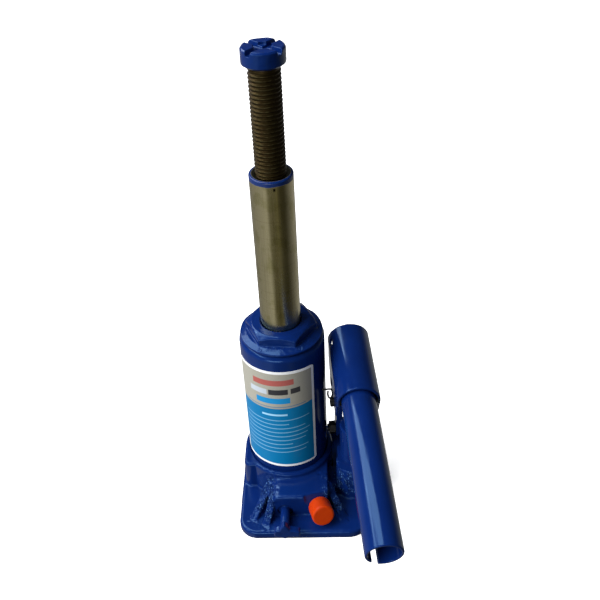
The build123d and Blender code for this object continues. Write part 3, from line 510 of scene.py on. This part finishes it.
# ---------------------------------------------------------------- pieces
def cast_base(paint):
    """The sand-cast base under its paint: soft edges everywhere and rough, pitted ribs."""
    piece = softened("base_casting", "cast_base", 0.62, 3)
    # the middle lines of the ribs on the foot, from (x, y) to (x, y)
    ribs = [((-10, -26), (-24, -51)), ((-9.5, -38), (-15, -55.5)), ((24, -28), (38, -50)),
            ((-24, 18), (-29, 31)), ((24, 20), (44, 32))]
    rib_reach, rib_fade, rib_foot = 5.5, 2.5, 5.5
    collar_bore, collar_floor, ground_gap = 27.6, 15, 0.4

    def distance(point, rib):
        (ax, ay), (bx, by) = rib
        run = Vector((bx - ax, by - ay))
        here = Vector((point.x - ax, point.y - ay))
        share = min(max(here.dot(run) / run.length_squared, 0), 1)
        return (here - run * share).length

    def rib_share(point):
        """1 near the middle line of a rib, falling to 0 at rib_reach from it."""
        nearest = min(distance(point, rib) for rib in ribs)
        return min(max((rib_reach - nearest) / rib_fade, 0), 1)

    def relief(point, normal):
        """Waves, grain and the ribs' pits, but none under the foot and where the tank stands."""
        in_collar = hypot(point.x, point.y) < collar_bore and point.z > collar_floor
        if point.z < ground_gap or in_collar:
            return 0.0
        waves = noise.noise(point / 9.0) * 0.22
        grain = noise.noise(point / 1.5) * 0.10 + noise.noise(point / 0.8) * 0.05
        on_rib = rib_share(point) if point.z > rib_foot else 0
        pits = noise.noise(point / 1.9 + Vector((7, 3, 1))) * 0.42
        calm = 0.35 if normal.z > 0.9 else 0.6  # flat tops are smoother than the sides
        return (waves + grain) * calm + pits * on_rib

    pushed(piece, relief)
    return finished(piece, paint, "base", "blue_paint", "base_casting")


def painted_tank(paint):
    """The oil tank: one drawn tube with a rounded shoulder and the filler hole at its back."""
    low, high = box_mm("reservoir_tube")
    outer, wall, neck, shoulder, shoulder_inside = high.x, 2.5, 19.6, 4, 22
    piece = lathe("painted_tank", [
        (outer, low.z, 0.3), (outer, high.z, shoulder), (neck, high.z, 0.4),
        (neck, high.z - wall, 0), (outer - wall, high.z - wall, shoulder - wall),
        (outer - wall, low.z, 0.3),
    ], segments=220)
    plug = middle_of("oil_filler_plug") / MM
    hole_radius, hole_length = 4, 12
    hole = lathe("hole", [(0, 0, 0), (hole_radius, 0, 0), (hole_radius, hole_length, 0),
                          (0, hole_length, 0)],
                 axis_frame(Vector((0, outer - hole_length / 2, plug.z)) * MM, (0, 1, 0)), 48)
    cut(piece, hole)

    def relief(point, normal):
        """The rounded shoulder waves a little, and the rest is smooth."""
        high_up = point.z > high.z - shoulder - 0.5 and normal.z > 0.05
        outside = hypot(point.x, point.y) > shoulder_inside
        return noise.noise(point / 5.0) * 0.16 if high_up and outside else 0.0

    pushed(piece, relief)
    return finished(piece, paint, "base", "blue_paint", "reservoir_tube")


def forged_nut(paint):
    """The top nut, with the slightly wavy faces of a forging under paint."""
    piece = softened("top_nut", "forged_nut", 0.36, 3)
    bore, skirt_top = 16.0, box_mm("reservoir_tube")[1].z + 0.4

    def relief(point, normal):
        """Waves and grain on the outside, and none in the bore and on the skirt in the tank."""
        if hypot(point.x, point.y) < bore or point.z < skirt_top:
            return 0.0
        return noise.noise(point / 7.0) * 0.22 + noise.noise(point / 2.2) * 0.05

    pushed(piece, relief)
    return finished(piece, paint, "base", "blue_paint", "top_nut")


def ground_ram():
    """The ram, turned and ground, with a broken top edge and the bore for the screw."""
    low, high = box_mm("ram")
    rod, head, bore, relief = 12.5, high.x, 8.8, 9.5
    head_top, thread_end, bore_end = low.z + 9.7, high.z - 14, high.z - 84
    piece = lathe("ground_ram", [
        (0, low.z, 0), (head, low.z, 0.4), (head, head_top, 0.3), (rod, head_top, 0.3),
        (rod, high.z, 0.9), (bore, high.z, 0.5), (bore, thread_end, 0), (relief, thread_end, 0),
        (relief, bore_end, 0), (0, bore_end, 0),
    ], segments=200)
    paint_height, paint_inside = 2.9, 10.9
    material = ground_steel((high.z - paint_height) * MM, paint_inside * MM)
    return finished(piece, material, "ram", "ram_steel", "ram")


def threaded_screw():
    """The extension screw with its real helical thread, from its foot to the neck."""
    low, high = box_mm("extension_screw")
    ring_low, ring_high = box_mm("screw_stop_ring")
    saddle_low = box_mm("saddle")[0].z
    pitch, depth, flank, neck, tip = 2.31, 0.85, 1.25, 7.9, 5
    run_in, run_out, ring_margin = 2, 1.5, 1.5
    crest, root = high.x, high.x - depth
    thread_low, thread_top, neck_low = low.z + 0.6, saddle_low - 0.9, saddle_low - 0.5
    around, rows_per_turn = 96, 14
    rows = int((thread_top - low.z) / pitch * rows_per_turn)

    def thread(turn, height):
        """Radius of the thread: flat crests and roots with straight flanks between them."""
        share = (height / pitch - turn / (2 * pi)) % 1
        rise = min(max(0.5 + flank * (0.5 - abs(2 * share - 1)), 0), 1)
        fade = min((height - low.z) / run_in, (thread_top - height) / run_out, 1)
        if ring_low.z - ring_margin < height < ring_high.z + ring_margin:
            fade = 0
        return root + depth * rise * max(fade, 0)

    rings = [[(r, low.z)] * around for r in (0, root - 1)]
    for k in range(rows + 1):
        height = thread_low + (thread_top - thread_low) * k / rows
        rings.append([(thread(2 * pi * s / around, height), height) for s in range(around)])
    for r, h in ((neck, neck_low), (neck, saddle_low), (tip, saddle_low), (tip, high.z), (0, high.z)):
        rings.append([(r, h)] * around)
    vertices, faces = [], []
    for ring in rings:
        for s, (r, h) in enumerate(ring):
            turn = 2 * pi * s / around
            vertices.append((r * cos(turn), r * sin(turn), h))
    for k in range(len(rings) - 1):
        for s in range(around):
            ahead = (s + 1) % around
            faces.append((k * around + s, k * around + ahead,
                          (k + 1) * around + ahead, (k + 1) * around + s))
    piece = mesh_object("threaded_screw", vertices, faces)
    return finished(piece, oiled_steel(crest * MM), "screw", "screw_steel", "extension_screw")


def forged_saddle(paint):
    """The saddle: a painted forging whose grooves and edges have softened."""
    piece = softened("saddle", "forged_saddle", 0.24, 5)
    bottom = box_mm("saddle")[0].z
    lift, skin, socket, socket_depth = 0.25, 2, 5.6, 5.5

    def relief(point, normal):
        """The underside keeps clear of the ram when the screw is right in, and its hole is plain."""
        if normal.z < -0.5 and point.z < bottom + skin:
            return -lift
        if hypot(point.x, point.y) < socket and point.z < bottom + socket_depth:
            return 0.0
        return noise.noise(point / 3.5) * 0.13 + noise.noise(point / 1.2) * 0.03

    pushed(piece, relief)
    return finished(piece, paint, "screw", "blue_paint", "saddle")


def formed_socket(paint):
    """The handle socket: bent sheet with its ears, under thick paint."""
    piece = softened("handle_socket", "formed_socket", 0.42, 3)
    return finished(piece, paint, "socket", "blue_paint", "handle_socket")


def drawn_handle(paint):
    """The handle tube, with rolled ends and the release key's slot cut in its near end."""
    pull = Vector(joints["handle_pull"]["axis"])
    centre = middle_of("handle_tube")
    reach = [(v.co - centre).dot(pull) / MM for v in nodes["handle_tube"].data.vertices]
    far, near = min(reach), max(reach)
    outer, wall, slot_depth, slot_half, spare = 10.7, 1.6, 12, 2.3, 2
    piece = lathe("drawn_handle", [
        (outer, far, 0.5), (outer, near, 0.7), (outer - wall, near, 0.6), (outer - wall, far, 0.4),
    ], axis_frame(centre, pull), 160)

    # the slot is low on the tank's side, slot_turn from straight down, with a round inner end
    outward = Vector(joints["link_swing"]["axis"])
    slot_turn = radians(30)
    down = Vector((0, 0, -1)) * cos(slot_turn) - outward * sin(slot_turn)
    down = (down - pull * down.dot(pull)).normalized()
    across = pull.cross(down)
    inner_end, open_end, arc = near - slot_depth, near + spare, slot_half * 0.98
    outline = rounded([(inner_end, -slot_half, arc), (open_end, -slot_half, 0),
                       (open_end, slot_half, 0), (inner_end, slot_half, arc)], 8)
    count = len(outline)
    vertices = [centre / MM + pull * along + across * side + down * out
                for out in (0, outer + spare) for along, side in outline]
    faces = [tuple(range(count)), tuple(range(2 * count - 1, count - 1, -1))]
    faces += [(k, (k + 1) % count, count + (k + 1) % count, count + k) for k in range(count)]
    cut(piece, mesh_object("slot", vertices, faces))
    return finished(piece, paint, "handle", "blue_paint", "handle_tube")


def curved_label():
    """The label: a thin sheet round the tank with rounded corners."""
    low, high = box_mm("name_label")
    tank = box_mm("reservoir_tube")[1].x
    inner, outer = tank + 0.02, tank + 0.24
    start, end = radians(195), radians(316)
    corner, columns, rows = 2.5, 140, 60
    width = (end - start) * outer

    def corner_cut(along):
        """How far the edge draws in at a rounded corner, at this distance along the edge."""
        side = min(along, width - along)
        if side >= corner:
            return 0.0
        return corner - (corner ** 2 - (corner - side) ** 2) ** 0.5

    vertices = []
    for radius in (outer, inner):
        for c in range(columns + 1):
            share = c / columns
            turn = start + (end - start) * share
            bottom = low.z + corner_cut(width * share)
            bow = (LABEL_BOW[0] + LABEL_BOW[1] * share + LABEL_BOW[2] * share ** 2) / MM
            top = high.z + bow - corner_cut(width * share) / 2
            for r in range(rows + 1):
                vertices.append((radius * cos(turn), radius * sin(turn),
                                 bottom + (top - bottom) * r / rows))
    stride, sheet = rows + 1, (columns + 1) * (rows + 1)
    faces = []
    for c in range(columns):
        for r in range(rows):
            a = c * stride + r
            quad = (a, a + stride, a + stride + 1, a + 1)
            faces += [quad, tuple(sheet + v for v in reversed(quad))]
    rim = [c * stride for c in range(columns + 1)]
    rim += [columns * stride + r for r in range(1, rows + 1)]
    rim += [c * stride + rows for c in range(columns - 1, -1, -1)]
    rim += [r for r in range(rows - 1, 0, -1)]
    for a, b in zip(rim, rim[1:] + rim[:1]):
        faces.append((a, sheet + a, sheet + b, b))
    piece = mesh_object("curved_label", vertices, faces)
    material = label_print(outer * MM, start, end, low.z * MM, high.z * MM)
    return finished(piece, material, "base", "label_foil", "name_label")


def wing_screw(paint):
    """The release valve's screw with its cast wing, which is thicker over its middle."""
    piece = softened("release_valve_screw", "wing_screw", 0.3, 3)
    axle = Vector(joints["release_turn"]["pos_m"]) / MM
    wing_back, stem_front = -61.2, -58
    swell_most, swell_reach, swell_fade = 1.1, 9, 0.6
    for vertex in piece.data.vertices:
        x, y, z = vertex.co / MM
        if y < wing_back and z > axle.z:
            central = max(0, 1 - abs(x - axle.x) / swell_reach)
            swell = 1 + swell_most * central * min((wing_back - y) / swell_fade, 1)
            vertex.co.z = (axle.z + (z - axle.z) * swell) * MM

    def relief(point, normal):
        """The wing waves, and the turned stem behind it doesn't."""
        return noise.noise(point / 2.5) * 0.16 if point.y < stem_front else 0.0

    pushed(piece, relief)
    return finished(piece, paint, "release_valve", "blue_paint", "release_valve_screw")


def vinyl_cap():
    """The overload valve's soft cap, with its full round edge."""
    piece = softened("overload_valve_cap", "vinyl_cap", 0.3, 4)
    return finished(piece, orange_vinyl(), "overload_cap", "orange_plastic", "overload_valve_cap")


def dress_cad_nodes(paint):
    """Materials for the CAD nodes that are shown as they are: bright steel unless named here."""
    steel = plain_metal("bright_steel", (0.42, 0.41, 0.39), (0.58, 0.57, 0.54), 0.18, 0.32)
    honed = plain_metal("honed_steel", (0.30, 0.29, 0.26), (0.42, 0.40, 0.36), 0.2, 0.34)
    copper = plain_metal("annealed_copper", (0.62, 0.25, 0.13), (0.78, 0.36, 0.2), 0.3, 0.45)
    wire, seal = black_wire(), rubber()
    looks = {
        "link_plate_left": paint, "link_plate_right": paint, "pump_cylinder": paint,
        "pump_plunger": honed, "cylinder_tube": honed, "cylinder_washer": copper,
    }
    for name, node in nodes.items():
        if node.hide_render:
            continue
        material = looks.get(name, steel)
        if "seal" in name or "gasket" in name or name in ("ram_pressure_cup", "oil_filler_plug"):
            material = seal
        if "cotter" in name or name.endswith("_pin") or name == "base_pin_nut":
            material = wire
        if not node.material_slots:
            raise ValueError(f"{name} has no material slot")
        for slot in node.material_slots:
            slot.material = material


# ---------------------------------------------------------------- stage, lights and camera
def pale_floor():
    """A floor lit to near white, which gives the jack no reflection and no bounced light."""
    half = 3000
    floor = mesh_object("floor", [(-half, -half, 0), (half, -half, 0), (half, half, 0),
                                  (-half, half, 0)], [(0, 1, 2, 3)])
    pale = Surface("pale_floor", Specular_IOR_Level=0.1, Roughness=0.9, Emission_Strength=0.55)
    pale.shader.inputs["Emission Color"].default_value = (1, 1, 1, 1)
    pale.colour(pale.mix(pale.noise(60, 2), (0.90, 0.90, 0.91), (0.93, 0.93, 0.935)))
    floor.data.materials.append(pale.material)
    floor.visible_glossy = floor.visible_diffuse = False


def studio_world():
    """The room that the gloss shows: brighter and darker by bearing low down, and dim above."""
    world = bpy.data.worlds.new("studio")
    scene.world = world
    world.use_nodes = True
    tree = world.node_tree
    link = tree.links.new
    place = tree.nodes.new("ShaderNodeTexCoord")
    parts = tree.nodes.new("ShaderNodeSeparateXYZ")
    link(place.outputs["Generated"], parts.inputs[0])

    # the bearing as a share of a turn: 0 behind, 0.25 left, 0.5 in front, 0.75 right
    front = tree.nodes.new("ShaderNodeMath")
    front.operation = "MULTIPLY"
    front.inputs[1].default_value = -1
    link(parts.outputs["Y"], front.inputs[0])
    around = tree.nodes.new("ShaderNodeMath")
    around.operation = "ARCTAN2"
    link(parts.outputs["X"], around.inputs[0])
    link(front.outputs[0], around.inputs[1])
    bearing = tree.nodes.new("ShaderNodeMapRange")
    bearing.inputs["From Min"].default_value, bearing.inputs["From Max"].default_value = -pi, pi
    link(around.outputs[0], bearing.inputs["Value"])

    # how bright the room is at each bearing
    room = tree.nodes.new("ShaderNodeValToRGB")
    stops = [(0.0, 0.34), (0.15, 0.30), (0.36, 0.42), (0.42, 0.56), (0.45, 0.12), (0.535, 0.10),
             (0.56, 0.22), (0.60, 0.045), (0.68, 0.04), (0.76, 0.17), (0.86, 0.4), (1.0, 0.34)]
    ramp = room.color_ramp
    while len(ramp.elements) < len(stops):
        ramp.elements.new(0.5)
    neutral, warm = (1, 1, 1), (1, 0.94, 0.55)
    for element, (at, level) in zip(ramp.elements, stops):
        element.position = at
        tint = warm if 0.44 < at < 0.7 else neutral  # the dim side of the room is the warmer one
        element.color = (*(level * channel for channel in tint), 1)
    link(bearing.outputs["Result"], room.inputs["Fac"])

    rise = tree.nodes.new("ShaderNodeMapRange")
    rise.inputs["From Min"].default_value, rise.inputs["From Max"].default_value = -0.1, 0.25
    link(parts.outputs["Z"], rise.inputs["Value"])
    join = tree.nodes.new("ShaderNodeMix")
    join.data_type = "RGBA"
    link(rise.outputs["Result"], join.inputs[MIX_SHARE])
    link(room.outputs["Color"], join.inputs[MIX_A])
    join.inputs[MIX_B].default_value = (0.05, 0.055, 0.065, 1)
    link(join.outputs[MIXED], tree.nodes["Background"].inputs["Color"])


def softbox(name, toward, distance, size, power, aim):
    """A rectangular light that faces the aim point from a direction. Metres and watts."""
    light = bpy.data.lights.new(name, "AREA")
    light.shape, light.size, light.size_y = "RECTANGLE", *size
    light.energy = power
    holder = bpy.data.objects.new(name, light)
    direction = Vector(toward).normalized()
    holder.location = Vector(aim) + direction * distance
    holder.rotation_mode = "QUATERNION"
    holder.rotation_quaternion = direction.to_track_quat("Z", "Y")
    scene.collection.objects.link(holder)
    return holder


def lights():
    """One broad light and a sun for the shading only, and smaller lights that the gloss shows."""
    low, high = cad_box
    aim = (low + high) / 2
    broad = softbox("overhead", (-0.38, 0.12, 0.92), 1.1, (0.6, 1.0), 4, aim)
    broad.visible_glossy = False
    softbox("skylight", (-0.47, 0.27, 0.93), 1.02, (0.42, 0.95), 6.0, aim)
    softbox("left_window", (-0.74, -0.12, 0.66), 1.0, (0.8, 0.18), 2.4, aim)
    softbox("front_window", (-0.30, -0.94, 0.14), 1.1, (0.75, 0.22), 3.2, aim)
    softbox("back_window", (-0.62, 0.58, 0.52), 1.0, (0.3, 0.3), 1.0, aim)
    sun = bpy.data.lights.new("window", "SUN")
    sun.energy, sun.angle = 4.0, radians(40)
    holder = bpy.data.objects.new("window", sun)
    holder.visible_glossy = False
    holder.rotation_mode = "QUATERNION"
    holder.rotation_quaternion = Vector((-0.72, -0.42, 0.62)).to_track_quat("Z", "Y")
    scene.collection.objects.link(holder)


def camera():
    """Stands in front of the jack and above it, looking down, turned a little to the left."""
    at = Vector((29.7, -392.4, 452.3)) * MM
    yaw, down, roll = radians(-2.5), radians(37.29), radians(-2.74)
    ahead = Vector((sin(yaw) * cos(down), cos(yaw) * cos(down), -sin(down)))
    level = ahead.cross(Vector((0, 0, 1))).normalized()
    above = level.cross(ahead)
    right = level * cos(roll) + above * sin(roll)
    up = above * cos(roll) - level * sin(roll)
    data = bpy.data.cameras.new("camera")
    data.sensor_width, data.lens = 36, 48.42
    data.clip_start, data.clip_end = 0.01, 20
    holder = bpy.data.objects.new("camera", data)
    holder.matrix_world = Matrix.Translation(at) @ Matrix(
        (right, up, -ahead)).transposed().to_4x4()
    scene.collection.objects.link(holder)
    scene.camera = holder


# ---------------------------------------------------------------- build
smooth_paint = blue_enamel("blue_enamel", 0.10, 0.012)
cast_paint = blue_enamel("cast_enamel", 0.10, 0.03)
# on the ribs and the pump's boss the paint is pitted and carries painted glints
base_paint = blue_enamel("sand_cast_enamel_painted_glints", 0.12, 0.04, [
    ((-28, -56, 8.5), (-9, -27, 24), 0.8),  # the left ribs and the boss's shoulder
    ((22, -54, 8.5), (42, -27, 24), 0.4),  # the right rib
    ((31, -36, 12), (60, -6, 45), 0.35),  # the pump's boss
])
# the foot of the nut's front face is pitted and carries painted glints
nut_paint = blue_enamel("forged_enamel_painted_glints", 0.16, 0.03, [
    ((-14, -23, 128), (14, -17, 132.4), 0.4),  # the foot of the front face
])
cast_base(base_paint)
painted_tank(smooth_paint)
forged_nut(nut_paint)
ground_ram()
threaded_screw()
forged_saddle(smooth_paint)
formed_socket(smooth_paint)
drawn_handle(smooth_paint)
curved_label()
wing_screw(cast_paint)
vinyl_cap()
dress_cad_nodes(cast_paint)
pale_floor()
studio_world()
lights()
camera()
scene.view_settings.view_transform = "Standard"
